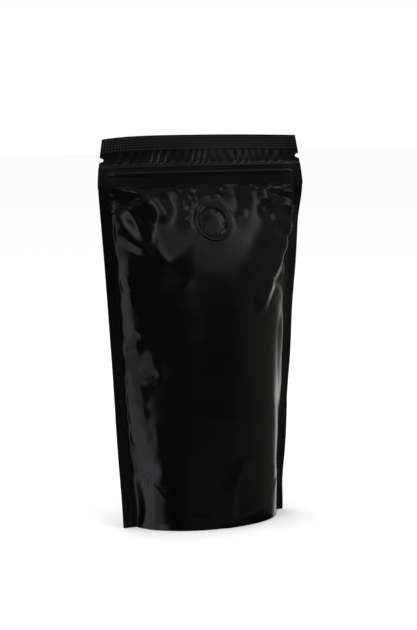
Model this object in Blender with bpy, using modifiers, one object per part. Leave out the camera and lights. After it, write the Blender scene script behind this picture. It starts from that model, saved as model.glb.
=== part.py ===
"""Stand-up pouch of roasted coffee: a filled film bag with a closing strip, tear notches and a valve.

Run with: blender --background --python part.py
Units are metres, +Z is up and the front panel faces -Y.
The origin is the centre of the footprint on the ground.
"""

import math

import bpy
from mathutils import Matrix, Vector

# Overall size of the filled, standing bag.
HALF_WIDTH = 0.065  # at the press-to-close strip, where the bag is flat
BASE_HALF_WIDTHS = (0.0504, 0.0524)  # left and right of the middle, at the ground
TOP_HALF_WIDTH = 0.0613
HEIGHT = 0.2152  # at the middle of the top edge
CORNER_DROPS = (0.0026, 0.0009)  # how far the top edge's left and right corners hang
HEADER_LEAN = math.tan(math.radians(5.5))  # above the strip the bag leans back
SHOULDER_CURVE = 1.4  # how late the outline closes in above the strip; 1 would be a straight line

# Each panel stands out from the side seams by this much at the base, and falls away towards the strip.
DEPTH = 0.0296
FALL_POWER = 4.2
# A section's power: 0.5 is an ellipse and 1 a parabola. The panels change from one towards the other.
LOW_SECTION = 0.50
HIGH_SECTION = 0.78
SECTION_CHANGE = (0.020, 0.090)  # heights between which the section changes

# Sealed edges.
SIDE_SEAL = 0.0059
SEAL_WIDENING = 0.0022  # the side seals are this much wider at the ground
SEAL_WIDENING_HEIGHT = 0.070
FIN_THICKNESS = 0.0008
BASE_CORNER_RADIUS = 0.0035  # on the right-hand fin only

# Press-to-close strip, as heights above the ground.
STRIP_BOTTOM = 0.1875
STRIP_TOP = 0.1990
STRIP_EDGE = 0.0012  # height over which the strip's edges slope
STRIP_THICKNESS = 0.0022
STRIP_FADE = 0.93  # share of the inner width beyond which the strip is crushed flat
RIDGE_HEIGHTS = (0.1942, 0.1980)
RIDGE_RISE = 0.0007
RIDGE_HALF_WIDTH = 0.0008

# Tear notches, one in each edge between the strip and the top edge.
NOTCH_HEIGHT = 0.2033
NOTCH_DEPTH = 0.0026
NOTCH_RADIUS = 0.0011
NOTCH_FLARE = 1.3  # how much wider the notch is at the edge
NOTCH_SIDES = 16

# Base: a rim that stands on the ground, and the gusset pressed flat on the ground inside it.
RIM_WIDTH = 0.0012
GUSSET_RECESS = 0.0035
FLAT_SHARE = 0.45  # share of the half-depth that lies flat on the ground

# One-way valve under the front film.
VALVE_X = -0.0011
VALVE_HEIGHT = 0.1678
VALVE_RADIUS = 0.0115
VALVE_SEAT_DEPTH = 0.0016
# Radius and height above the panel of the valve's turned outline.
VALVE_OUTLINE = (
    (0.0000, 0.0006),
    (0.0040, 0.0005),
    (0.0076, 0.0002),
    (0.0080, 0.0009),
    (0.0085, 0.0013),
    (0.0091, 0.0012),
    (0.0096, 0.0007),
    (0.0106, 0.0009),
    (0.0111, 0.0007),
    (VALVE_RADIUS, 0.0002),
)
VALVE_HOLES = 5
VALVE_HOLE_CIRCLE = 0.0067
VALVE_HOLE_RADIUS = 0.0006
VALVE_HOLE_DEPTH = 0.0008
VALVE_HOLE_SIDES = 12
FIRST_HOLE_ANGLE = math.radians(57)
CLEARANCE = 0.0003

# Mesh density.
COLUMNS = 36
SEAL_COLUMNS = 2  # columns of faces across each side seal
ROWS_BELOW_STRIP = 34
ROW_STEP_ABOVE = 0.00145
TURNED_STEPS = 48
SHARP_ANGLE = math.radians(35)
CUTTER_LENGTH = 0.02

FILM_COLOUR = (0.012, 0.012, 0.013, 1.0)
VALVE_COLOUR = (0.014, 0.014, 0.015, 1.0)


def clear_scene():
    for obj in list(bpy.data.objects):
        bpy.data.objects.remove(obj)


def new_collection(name):
    collection = bpy.data.collections.new(name)
    bpy.context.scene.collection.children.link(collection)
    return collection


def plastic(name, colour, roughness):
    material = bpy.data.materials.new(name)
    material.use_nodes = True
    shader = material.node_tree.nodes["Principled BSDF"]
    shader.inputs["Base Color"].default_value = colour
    shader.inputs["Roughness"].default_value = roughness
    shader.inputs["Metallic"].default_value = 0.0
    return material


def smooth_step(edge_low, edge_high, value):
    t = min(1.0, max(0.0, (value - edge_low) / (edge_high - edge_low)))
    return t * t * (3 - 2 * t)


def half_width(z, side):
    """Half the outline's width at height z. The sides spread evenly up to the strip, then close in."""
    base = BASE_HALF_WIDTHS[0] if side < 0 else BASE_HALF_WIDTHS[1]
    if z <= STRIP_BOTTOM:
        width = base + (HALF_WIDTH - base) * z / STRIP_BOTTOM
    else:
        share = (z - STRIP_BOTTOM) / (HEIGHT - STRIP_BOTTOM)
        width = HALF_WIDTH - (HALF_WIDTH - TOP_HALF_WIDTH) * share**SHOULDER_CURVE
    if side > 0 and z < BASE_CORNER_RADIUS:
        rise = BASE_CORNER_RADIUS - z
        width -= BASE_CORNER_RADIUS - math.sqrt(BASE_CORNER_RADIUS**2 - rise**2)
    return width


def inner_width(z, side):
    """Half the width between the side seals. It takes no notice of the fin's rounded corner."""
    seal = SIDE_SEAL + SEAL_WIDENING * (1 - smooth_step(0, SEAL_WIDENING_HEIGHT, z))
    return half_width(max(z, BASE_CORNER_RADIUS), side) - seal


def bulge(across, z):
    """How far a panel stands out from the seams. across runs from -1 to 1 between the side seals."""
    if abs(across) >= 1 or z >= STRIP_BOTTOM:
        return 0.0
    middle = DEPTH * (1 - (z / STRIP_BOTTOM) ** FALL_POWER)
    section = LOW_SECTION + (HIGH_SECTION - LOW_SECTION) * smooth_step(*SECTION_CHANGE, z)
    return middle * (1 - across * across) ** section


def strip_relief(across, z):
    """Thickness that the press-to-close strip adds to one side, fading out at the side seals."""
    fade = 1 - smooth_step(STRIP_FADE, 1.0, abs(across))
    body = smooth_step(STRIP_BOTTOM - STRIP_EDGE, STRIP_BOTTOM, z)
    body *= 1 - smooth_step(STRIP_TOP, STRIP_TOP + STRIP_EDGE, z)
    relief = body * (STRIP_THICKNESS - FIN_THICKNESS) / 2
    for height in RIDGE_HEIGHTS:
        relief += RIDGE_RISE * max(0.0, 1 - abs(z - height) / RIDGE_HALF_WIDTH)
    return relief * fade


def corner_drop(x, z):
    """How far the header's top edge hangs, more on the left than on the right."""
    share = abs(x) / HALF_WIDTH
    drop = CORNER_DROPS[0] * share**4 if x < 0 else CORNER_DROPS[1] * share**2
    return drop * smooth_step(STRIP_BOTTOM, HEIGHT, z)


def panel_point(column, z, facing):
    """A point of the front (facing -1) or back (facing 1) panel; column is -1 to 1 over the outline."""
    side = 1 if column > 0 else -1
    outer = half_width(z, side)
    inner = inner_width(z, side)
    seal_share = 1 - SEAL_COLUMNS * 2 / COLUMNS
    if abs(column) <= seal_share:
        across = math.sin(column / seal_share * math.pi / 2)
        x = across * inner
    else:
        across = side
        x = side * (inner + (outer - inner) * (abs(column) - seal_share) / (1 - seal_share))
    y = FIN_THICKNESS / 2 + bulge(across, z) + strip_relief(x / inner, z)
    lean = HEADER_LEAN * max(0.0, z - STRIP_BOTTOM)
    return (x, facing * y + lean, z - corner_drop(x, z))


def row_heights():
    """Heights of the mesh rows: even up to the strip, closer above it so that its ridges show."""
    below = [STRIP_BOTTOM * i / ROWS_BELOW_STRIP for i in range(ROWS_BELOW_STRIP)]
    # Extra rows near the ground follow the rounded corner of the fin.
    below[1:1] = [BASE_CORNER_RADIUS * share for share in (0.15, 0.5, 1.0)]
    above = STRIP_BOTTOM
    heights = list(below)
    while above < HEIGHT - ROW_STEP_ABOVE / 2:
        heights.append(above)
        above += ROW_STEP_ABOVE
    heights.append(HEIGHT)
    for ridge in RIDGE_HEIGHTS:
        heights += [ridge - RIDGE_HALF_WIDTH, ridge, ridge + RIDGE_HALF_WIDTH]
    return sorted(set(heights))


def base_row(front, back, share):
    """A point of the underside between the two rim points; share is 0 at the front and 1 at the back."""
    half = (Vector(back) - Vector(front)).length / 2
    point = Vector(front).lerp(Vector(back), share)
    from_edge = min(share, 1 - share) * 2 * half
    reach = half * (1 - FLAT_SHARE)
    if from_edge <= RIM_WIDTH * 1.01 or half < 4 * RIM_WIDTH:
        lift = 0.0
    else:
        lift = GUSSET_RECESS * (1 - smooth_step(RIM_WIDTH * 2, reach, from_edge))
    return (point.x, point.y, lift)


def base_shares(half):
    """Where the underside's lines lie between front and back: rim, recess wall, slope, flat middle."""
    rim = RIM_WIDTH / (2 * half)
    flat = (1 - FLAT_SHARE) / 2
    edge = [rim, rim * 1.5, rim * 2] if half >= 4 * RIM_WIDTH else [flat * 0.25, flat * 0.5, flat * 0.75]
    inner = [edge[-1] + (flat - edge[-1]) * step / 3 for step in (1, 2, 3)]
    front = edge + inner
    return front + [1 - share for share in reversed(front)]


def panel_faces(rows, across, back):
    """Quads of both panels, of the two side edges above the lowest row, and of the top edge."""
    faces = []
    for r in range(rows - 1):
        for c in range(across - 1):
            at = r * across + c
            faces.append((at, at + 1, at + 1 + across, at + across))
            faces.append((back + at, back + at + across, back + at + 1 + across, back + at + 1))
    for r in range(1, rows - 1):
        left, right = r * across, r * across + across - 1
        faces.append((left, left + across, back + left + across, back + left))
        faces.append((right, back + right, back + right + across, right + across))
    top = (rows - 1) * across
    for c in range(across - 1):
        faces.append((top + c, top + c + 1, back + top + c + 1, back + top + c))
    return faces


def add_underside(points, across, back):
    """Adds the underside's points, one line from front to back for each column, and returns its faces."""
    lines = []
    for c in range(across):
        front_point, back_point = points[c], points[back + c]
        half = (back_point[1] - front_point[1]) / 2
        line = [c]
        for share in base_shares(half):
            line.append(len(points))
            points.append(base_row(front_point, back_point, share))
        lines.append(line + [back + c])
    faces = []
    for here, there in zip(lines, lines[1:]):
        for k in range(len(here) - 1):
            faces.append((here[k], here[k + 1], there[k + 1], there[k]))
    # The lowest face of each side edge takes in all the points of the line below it.
    left, right = lines[0], lines[-1]
    faces.append((*reversed(left), left[0] + across, left[-1] + across))
    faces.append((*right, right[-1] + across, right[0] + across))
    return faces


def make_pouch(collection, material):
    columns = [2 * i / COLUMNS - 1 for i in range(COLUMNS + 1)]
    heights = row_heights()
    rows, across = len(heights), len(columns)
    points = [panel_point(c, z, -1) for z in heights for c in columns]
    points += [panel_point(c, z, 1) for z in heights for c in columns]
    back = rows * across
    faces = panel_faces(rows, across, back) + add_underside(points, across, back)

    mesh = bpy.data.meshes.new("pouch")
    mesh.from_pydata(points, [], faces)
    pouch = bpy.data.objects.new("pouch", mesh)
    mesh.materials.append(material)
    collection.objects.link(pouch)
    mesh.shade_smooth()
    mesh.set_sharp_from_angle(angle=SHARP_ANGLE)
    return pouch


def front_point(x, z):
    """The point of the front panel at x and z."""
    across = x / inner_width(z, -1 if x < 0 else 1)
    return Vector((x, -FIN_THICKNESS / 2 - bulge(across, z), z))


def valve_frame():
    """Where the valve sits: near the front panel's middle line, facing along the panel's own slope."""
    step = 0.001
    low = front_point(VALVE_X, VALVE_HEIGHT - step)
    high = front_point(VALVE_X, VALVE_HEIGHT + step)
    up = (high - low).normalized()
    outward = Vector((1, 0, 0)).cross(up).normalized()
    axes = Matrix((Vector((1, 0, 0)), up, outward)).transposed()
    return Matrix.Translation(front_point(VALVE_X, VALVE_HEIGHT)) @ axes.to_4x4()


def make_valve(collection, cutters, material, frame):
    """A turned disc: a domed middle with a circle of small holes, a raised ring and a lower outer ring."""
    floor = CLEARANCE - VALVE_SEAT_DEPTH
    profile = [*VALVE_OUTLINE, (VALVE_RADIUS, floor), (0.0, floor)]
    mesh = bpy.data.meshes.new("valve")
    edges = [(i, i + 1) for i in range(len(profile) - 1)]
    mesh.from_pydata([(r, 0, h) for r, h in profile], edges, [])
    mesh.materials.append(material)
    valve = bpy.data.objects.new("valve", mesh)
    valve.matrix_world = frame
    collection.objects.link(valve)
    turn = valve.modifiers.new("turn", "SCREW")
    turn.steps = turn.render_steps = TURNED_STEPS
    turn.use_merge_vertices = True
    turn.merge_threshold = 0.00001
    turn.use_smooth_shade = True
    for i in range(VALVE_HOLES):
        angle = FIRST_HOLE_ANGLE + 2 * math.pi * i / VALVE_HOLES
        spot = Matrix.Translation((VALVE_HOLE_CIRCLE * math.cos(angle), VALVE_HOLE_CIRCLE * math.sin(angle), 0))
        length = VALVE_HOLE_DEPTH * 2
        cutter = cylinder(f"hole_cutter_{i}", VALVE_HOLE_RADIUS, length, frame @ spot, VALVE_HOLE_SIDES)
        move_to(cutter, cutters)
        cut(valve, cutter)
    return valve


def cylinder(name, radius, length, matrix, sides=TURNED_STEPS):
    bpy.ops.mesh.primitive_cylinder_add(vertices=sides, radius=radius, depth=length)
    obj = bpy.context.active_object
    obj.name = name
    obj.matrix_world = matrix
    return obj


def move_to(obj, collection):
    for current in list(obj.users_collection):
        current.objects.unlink(obj)
    collection.objects.link(obj)
    obj.hide_render = True
    obj.display_type = "WIRE"


def cut(target, cutter):
    modifier = target.modifiers.new(cutter.name, "BOOLEAN")
    modifier.operation = "DIFFERENCE"
    modifier.object = cutter


def cut_valve_seat(pouch, cutters, frame):
    placed = frame @ Matrix.Translation((0, 0, CUTTER_LENGTH / 2 - VALVE_SEAT_DEPTH))
    seat = cylinder("seat_cutter", VALVE_RADIUS + CLEARANCE, CUTTER_LENGTH, placed)
    move_to(seat, cutters)
    cut(pouch, seat)


def cut_tear_notches(pouch, cutters):
    """A round-ended slot in each side edge."""
    for name, side in (("left", -1), ("right", 1)):
        root = half_width(NOTCH_HEIGHT, side) - NOTCH_DEPTH + NOTCH_RADIUS
        turned = Matrix.Rotation(math.pi / 2, 4, "X")
        placed = Matrix.Translation((side * root, 0, NOTCH_HEIGHT)) @ turned
        slot = cylinder(f"notch_cutter_{name}", NOTCH_RADIUS, CUTTER_LENGTH, placed, NOTCH_SIDES)
        # The outer half of the cylinder is drawn out past the edge, which makes the slot.
        for vertex in slot.data.vertices:
            if vertex.co.x * side > NOTCH_RADIUS * 0.01:
                vertex.co.x = side * NOTCH_DEPTH * 2
                vertex.co.y *= NOTCH_FLARE
        move_to(slot, cutters)
        cut(pouch, slot)


def main():
    clear_scene()
    parts = new_collection("coffee_bag")
    cutters = new_collection("cutters")
    film = plastic("film", FILM_COLOUR, 0.42)
    moulding = plastic("valve_plastic", VALVE_COLOUR, 0.45)
    pouch = make_pouch(parts, film)
    frame = valve_frame()
    cut_valve_seat(pouch, cutters, frame)
    cut_tear_notches(pouch, cutters)
    make_valve(parts, cutters, moulding, frame)


main()
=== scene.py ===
"""Looks of the coffee bag: a filled black film pouch with its closing strip, sealed edges and valve.

The film is two flat sheets, sealed together down both sides. They are laid round the coffee and
relaxed by a small simulation that keeps every stretch of film at its real length, so slack film
folds as it does on the real bag. The listed creases are then added to the settled film.
The seam between the sheets lies at y = 0, and the front panel faces -Y. All lengths are in metres.
"""

import math

import bpy
import numpy as np
from mathutils import Matrix, Vector


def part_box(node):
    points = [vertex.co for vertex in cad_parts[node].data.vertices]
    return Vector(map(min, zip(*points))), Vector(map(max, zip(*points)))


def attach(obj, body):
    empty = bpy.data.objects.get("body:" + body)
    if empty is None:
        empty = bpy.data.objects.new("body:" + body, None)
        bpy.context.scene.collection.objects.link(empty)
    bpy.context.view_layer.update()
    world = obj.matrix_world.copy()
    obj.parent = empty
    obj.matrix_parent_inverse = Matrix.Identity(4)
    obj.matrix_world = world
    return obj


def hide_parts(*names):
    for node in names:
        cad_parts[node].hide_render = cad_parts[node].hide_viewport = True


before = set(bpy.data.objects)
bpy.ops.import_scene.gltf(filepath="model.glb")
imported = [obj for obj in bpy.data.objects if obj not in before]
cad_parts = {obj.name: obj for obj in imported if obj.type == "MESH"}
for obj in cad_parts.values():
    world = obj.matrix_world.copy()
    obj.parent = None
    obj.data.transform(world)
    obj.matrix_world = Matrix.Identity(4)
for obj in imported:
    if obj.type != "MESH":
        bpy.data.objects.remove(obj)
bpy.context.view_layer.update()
pouch_low, pouch_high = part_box("pouch")
valve_low, valve_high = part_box("valve")

# The flat film, and the outline it takes when filled.
HALF_WIDTH = (pouch_high.x - pouch_low.x) / 2
BASE_HALF_WIDTHS = (0.0504, 0.0524)  # left and right of the middle
TOP_HALF_WIDTH = 0.0613
SHOULDER_CURVE = 1.4  # how late the outline closes in above the strip; 1 would be a straight line
HEIGHT = pouch_high.z
CORNER_DROPS = (0.0026, 0.0009)  # how far the header's left and right corners hang
CORNER_CURVES = (4, 2)  # with a larger power only the corner itself hangs
STRIP_BOTTOM = 0.1875
SEAL_TIGHTENING = 0.92  # share of the film's spare length that is missing along the side seals

# Simulation grid: the coarse grid's cells, halved at each finer level.
COARSE_COLUMNS = 22
COARSE_ROWS = 32
SEAL_CELLS = 4  # cells of the finest level across each side seal
FINEST_LEVEL = 2
SIDE_SEAL = SEAL_CELLS * 2 * HALF_WIDTH / (COARSE_COLUMNS * 2**FINEST_LEVEL)
HALF_INNER = HALF_WIDTH - SIDE_SEAL  # half the flat film between the seals
SEAL_WIDENING = 0.0022  # the seals are this much wider at the base
SEAL_WIDENING_HEIGHT = 0.070
FILM_STRETCH = 1.015  # across the bag, under the filling

# The coffee: its top is rounded over this height, below the level it is filled to.
FILL_HEIGHT = 0.155
FILL_ROUNDING = 0.035
HEAD_PRESSURE = 1.5  # above the coffee, against the pressure below
FILM_GAP = 0.0004
SIDE_ROOM = 0.0030  # the coffee keeps this far from the side seals

# Gusset: its seal to the panels is lowest in the middle and rises to the sides.
GUSSET_SEAL_HEIGHT = 0.006
GUSSET_SEAL_RISE = 0.045
GUSSET_SEAL_CURVE = 2.6  # a larger power keeps more of the middle low

# Press-to-close strip: the side seals crush it flat over a stretch at each end.
CRUSHED_HALF_THICKNESS = 0.0003
STRIP_SWELL = 0.0005  # how much thicker each half of the strip is where it isn't crushed
STRIP_CRUSH = (0.052, 0.060)  # how far out the crushing starts and is complete

# Valve.
VALVE_CENTRE = (-0.0012, 0.1685)  # across the film, and along it from the base
VALVE_RADIUS = (valve_high.x - valve_low.x) / 2
VALVE_FLAT_RADIUS = VALVE_RADIUS + 0.0008

SEED = 7


def smooth_step(low, high, value):
    share = np.clip((value - low) / (high - low), 0.0, 1.0)
    return share * share * (3 - 2 * share)


def outline(z, side):
    """How far the bag reaches at height z, up to the strip: to the left on side 0, else to the right."""
    base = BASE_HALF_WIDTHS[side]
    return base + (HALF_WIDTH - base) * np.clip(z / STRIP_BOTTOM, 0, 1)


def side_seal(z):
    """Width of the side seals at height z."""
    return SIDE_SEAL + SEAL_WIDENING * smooth_step(SEAL_WIDENING_HEIGHT, 0.0, z)


# ---------------------------------------------------------------- the filled shape

SECTION_SHARES = -np.cos(np.linspace(0, math.pi, 241))  # closest together at the seals
LENS_HEIGHT = 0.100  # the sections change from an ellipse at the base to a lens at this height
SLOPE_DEPTH = 0.0290  # of the slope that runs up to the strip, at its base
SLOPE_POWER = 3  # the slope is steepest at the top; 1 would be a straight one
SLOPE_REST = 0.0010  # what is left of it at the strip
DEPTH_SEARCH_STEPS = 30
DECIMALS = 7  # the starting shape is rounded, so that it is the same wherever it is worked out


def section_shape(share, z):
    """Depth across a section, as a share of its middle's: an ellipse low down, then a parabola."""
    lens = smooth_step(0.0, LENS_HEIGHT, z)
    square = np.clip(1 - share * share, 0, 1)
    return (1 - lens) * np.sqrt(square) + lens * square


def panel_section(depth, z):
    """One panel's cross-section: points from seal to seal, and the length of film up to each."""
    left = outline(z, 0) - side_seal(z)
    right = outline(z, 1) - side_seal(z)
    x = (right - left) / 2 + (right + left) / 2 * SECTION_SHARES
    y = depth * section_shape(SECTION_SHARES, z)
    lengths = np.hypot(np.diff(x), np.diff(y))
    return x, y, np.concatenate([[0.0], np.cumsum(lengths)])


def filled_depth(z):
    """How far a panel stands out at height z: as far as its film lets it, and not past the slope."""
    low, high = 0.0, HALF_INNER
    for _ in range(DEPTH_SEARCH_STEPS):
        middle = (low + high) / 2
        if panel_section(middle, z)[2][-1] < 2 * (HALF_WIDTH - side_seal(z)):
            low = middle
        else:
            high = middle
    return min(middle, SLOPE_DEPTH * (1 - (z / STRIP_BOTTOM) ** SLOPE_POWER) + SLOPE_REST)


PROFILE_HEIGHTS = np.linspace(0, STRIP_BOTTOM, 61)
PROFILE_DEPTHS = np.array([filled_depth(z) for z in PROFILE_HEIGHTS]).round(DECIMALS)
FILM_LENGTH = float(np.hypot(np.diff(PROFILE_HEIGHTS), np.diff(PROFILE_DEPTHS)).sum())
SEAL_LENGTH = math.hypot(STRIP_BOTTOM, HALF_WIDTH - BASE_HALF_WIDTHS[0])
SEAL_SHRINKAGE = SEAL_TIGHTENING * (FILM_LENGTH - SEAL_LENGTH) / FILM_LENGTH


def depth_at(z):
    return np.interp(z, PROFILE_HEIGHTS, PROFILE_DEPTHS)


def coffee_depth(x, z):
    """How far the coffee stands out from the seam plane, front or back."""
    left = outline(z, 0) - side_seal(z) - SIDE_ROOM
    right = outline(z, 1) - side_seal(z) - SIDE_ROOM
    share = np.clip((2 * x - right + left) / (right + left), -1, 1)
    over = np.clip((z - FILL_HEIGHT + FILL_ROUNDING) / FILL_ROUNDING, 0, 1)
    depth = np.maximum(depth_at(z) - FILM_GAP, 0) * np.sqrt(1 - over * over)
    return depth * section_shape(share, z)


# ---------------------------------------------------------------- the film simulation

FRONT, BACK = 0, 1
FACING = (1, -1)  # turns a sheet's normals outwards, and leads from each panel to the seam

# For each level: steps, passes in a step, bending stiffness, pressure as a push in each step.
LEVELS = (
    (300, 6, 0.004, 1.0e-5),
    (300, 6, 0.003, 4.0e-6),
    (250, 6, 0.002, 1.5e-6),
)
MOMENTUM = 0.95
SEAL_STIFFNESS = 4.0  # of the doubled film, against the single film's
OUTLINE_PULL = 0.02
SEALED_MARGIN = 1e-5
GUSSET_STIFF_FADE = 0.004  # the stiffness of doubled film fades over this below the gusset's seal
STRIP_STIFF_FADE = 0.002  # and over this below the strip
HEAD_FADE = 0.025  # the pressure changes over this below the coffee's level
FIRST_SHAKE = 0.0006
LEVEL_SHAKE = 0.00005

# The side seals are stiff fins, which bend back a little after the film has settled.
FIN_SLOPES = (0.04, 0.27)  # how far the left and the right one bend back
FIN_SWAY = 0.25  # how much that changes along a fin, as a share
FIN_SWAY_LENGTH = 0.0085
FIN_HELD = 0.022  # each end is held over this length
FIN_TOP_HELD = 0.002  # next to the strip nothing bends


def flat_grid(level):
    columns = COARSE_COLUMNS * 2**level
    rows = COARSE_ROWS * 2**level
    across = np.linspace(-HALF_WIDTH, HALF_WIDTH, columns + 1)
    along = np.linspace(0, FILM_LENGTH, rows + 1)
    return np.meshgrid(across, along, indexing="ij")


def filled_shape(across, along):
    """Both panels bent round the full elliptical sections, as an array of (xyz, panel, column, row)."""
    film = np.zeros((3, 2, *across.shape))
    for row in range(across.shape[1]):
        z = along[0, row] * STRIP_BOTTOM / FILM_LENGTH
        x, y, lengths = panel_section(depth_at(z), z)
        place = across[:, row]
        inner = HALF_WIDTH - side_seal(z)
        inside = np.clip((place + inner) / (2 * inner), 0, 1) * lengths[-1]
        beyond = np.sign(place) * np.clip(np.abs(place) - inner, 0, None)
        film[0, :, :, row] = np.interp(inside, lengths, x) + beyond
        stand_out = np.interp(inside, lengths, y)
        film[1, FRONT, :, row] = -stand_out
        film[1, BACK, :, row] = stand_out
        film[2, :, :, row] = z
    return film.round(DECIMALS)


def strip_half_thickness(across):
    """Half the thickness at the strip, which is crushed flat where the side seals cross it."""
    return CRUSHED_HALF_THICKNESS + STRIP_SWELL * (1 - smooth_step(*STRIP_CRUSH, np.abs(across)))


def pin_ends(film, across, along):
    """Sets the base row on its arc on the ground and the top row along the strip."""
    film[..., 0] = filled_shape(across[:, :1], along[:, :1])[..., 0]
    half = strip_half_thickness(across[:, -1])
    film[0, :, :, -1] = across[:, -1]
    film[1, FRONT, :, -1] = -half
    film[1, BACK, :, -1] = half
    film[2, :, :, -1] = STRIP_BOTTOM


def make_links(across, along):
    """Pairs of neighbouring grid points, in sets that share no point, with their flat length."""
    columns, rows = across.shape
    whole = slice(None)
    links = []
    pairs = []
    for odd in (0, 1):
        here = slice(odd, columns - 1, 2)
        there = slice(odd + 1, columns, 2)
        pairs.append(((here, whole), (there, whole)))
        pairs.append(((here, slice(0, rows - 1)), (there, slice(1, rows))))
        pairs.append(((here, slice(1, rows)), (there, slice(0, rows - 1))))
        pairs.append(((whole, slice(odd, rows - 1, 2)), (whole, slice(odd + 1, rows, 2))))
    for first, second in pairs:
        shrinkage = SEAL_SHRINKAGE * (across[first] / HALF_WIDTH) ** 2
        stretch = 1 + (FILM_STRETCH - 1) * smooth_step(STRIP_BOTTOM, FILL_HEIGHT, along[first])
        run = (across[second] - across[first]) * stretch
        rest = np.hypot(run, (along[second] - along[first]) * (1 - shrinkage))
        start = (whole, whole, *first)
        end = (whole, whole, *second)
        links.append((start, end, rest.astype(np.float32)))
    return links


def keep_lengths(film, links):
    for start, end, rest in links:
        gap = film[end] - film[start]
        length = np.sqrt(gap[0] * gap[0] + gap[1] * gap[1] + gap[2] * gap[2])
        gap *= 0.5 * (length - rest) / length
        film[start] += gap
        film[end] -= gap


def resist_bending(film, stiffness):
    for axis in (2, 3):
        rows = np.moveaxis(film, axis, 1)
        inner = np.moveaxis(stiffness, axis - 1, 0)[1:-1]
        bend = (rows[:, :-2] - 2 * rows[:, 1:-1] + rows[:, 2:]) * inner
        rows[:, 1:-1] += 2 * bend
        rows[:, :-2] -= bend
        rows[:, 2:] -= bend


def sheet_normals(sheet):
    """Unit normals of grids of points, with the columns and rows as the last two axes."""
    du = np.empty_like(sheet)
    dv = np.empty_like(sheet)
    du[..., 1:-1, :] = sheet[..., 2:, :] - sheet[..., :-2, :]
    du[..., 0, :] = sheet[..., 1, :] - sheet[..., 0, :]
    du[..., -1, :] = sheet[..., -1, :] - sheet[..., -2, :]
    dv[..., 1:-1] = sheet[..., 2:] - sheet[..., :-2]
    dv[..., 0] = sheet[..., 1] - sheet[..., 0]
    dv[..., -1] = sheet[..., -1] - sheet[..., -2]
    normal = np.stack([
        du[1] * dv[2] - du[2] * dv[1],
        du[2] * dv[0] - du[0] * dv[2],
        du[0] * dv[1] - du[1] * dv[0],
    ])
    return normal / (np.sqrt(normal[0] ** 2 + normal[1] ** 2 + normal[2] ** 2) + 1e-12)


def outward_normals(film):
    """Unit normals of both panels, pointing away from the coffee."""
    normal = sheet_normals(film)
    normal[:, BACK] *= -1
    return normal


def gusset_seal(across):
    """Height of the gusset's seal along the panel."""
    share = np.abs(across) / HALF_INNER
    return GUSSET_SEAL_HEIGHT + GUSSET_SEAL_RISE * share**GUSSET_SEAL_CURVE


def hold_valve_flat(film, inside, local_u, local_v):
    """Keeps the film over the valve's disc flat."""
    points = film[:, FRONT][:, inside].astype(np.float64)
    centre = points.mean(axis=1, keepdims=True)
    moved = points - centre
    axis_u = (moved * local_u).sum(axis=1)
    axis_v = (moved * local_v).sum(axis=1)
    axis_u /= math.sqrt(float((axis_u * axis_u).sum()))
    axis_v /= math.sqrt(float((axis_v * axis_v).sum()))
    halfway = axis_u + axis_v
    across_it = axis_u - axis_v
    halfway /= math.sqrt(2 * float((halfway * halfway).sum()))
    across_it /= math.sqrt(2 * float((across_it * across_it).sum()))
    axis_u = halfway + across_it
    axis_v = halfway - across_it
    flat = centre + axis_u[:, None] * local_u + axis_v[:, None] * local_v
    film[:, FRONT][:, inside] = flat.astype(np.float32)


def relax(film, across, along, steps, passes, bending, pressure):
    """Lets the film settle round the coffee at one grid level."""
    film = film.astype(np.float32)
    links = make_links(across, along)
    sealed = np.abs(across) >= HALF_WIDTH - side_seal(along) - SEALED_MARGIN
    base_row = film[..., 0].copy()
    top_row = film[..., -1].copy()
    doubled = smooth_step(0.0, -GUSSET_STIFF_FADE, along - gusset_seal(across))
    doubled = np.maximum(doubled, smooth_step(FILM_LENGTH - STRIP_STIFF_FADE, FILM_LENGTH, along))
    doubled = np.where(sealed, 1.0, doubled)
    stiffness = bending * (1 + (SEAL_STIFFNESS - 1) * doubled)
    stiffness = np.broadcast_to(stiffness, film.shape[1:]).astype(np.float32)
    head = 1 + (HEAD_PRESSURE - 1) * smooth_step(FILL_HEIGHT - HEAD_FADE, FILL_HEIGHT, along)
    push = (pressure * head).astype(np.float32)
    off_u = across - VALVE_CENTRE[0]
    off_v = along - VALVE_CENTRE[1]
    inside = off_u * off_u + off_v * off_v < VALVE_FLAT_RADIUS**2
    local_u = off_u[inside] - off_u[inside].mean()
    local_v = off_v[inside] - off_v[inside].mean()
    before = film.copy()
    for _ in range(steps):
        motion = (film - before) * np.float32(MOMENTUM)
        before = film.copy()
        film = film + motion + outward_normals(film) * push
        for _ in range(passes):
            keep_lengths(film, links)
            resist_bending(film, stiffness)
            film[:, :, sealed] = film[:, :, sealed].mean(axis=1, keepdims=True)
            for edge, side, sign in ((0, 0, -1), (-1, 1, 1)):
                reach = sign * outline(film[2, :, edge], side)
                film[0, :, edge] += OUTLINE_PULL * (reach - film[0, :, edge])
                film[1, :, edge] -= OUTLINE_PULL * film[1, :, edge]
            middle = (film[1, FRONT] + film[1, BACK]) / 2
            coffee = coffee_depth(film[0], film[2])
            film[1, FRONT] = np.minimum(np.minimum(film[1, FRONT], middle), -coffee[FRONT])
            film[1, BACK] = np.maximum(np.maximum(film[1, BACK], middle), coffee[BACK])
            hold_valve_flat(film, inside, local_u, local_v)
            film[..., 0] = base_row
            film[..., -1] = top_row
    return film


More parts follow.
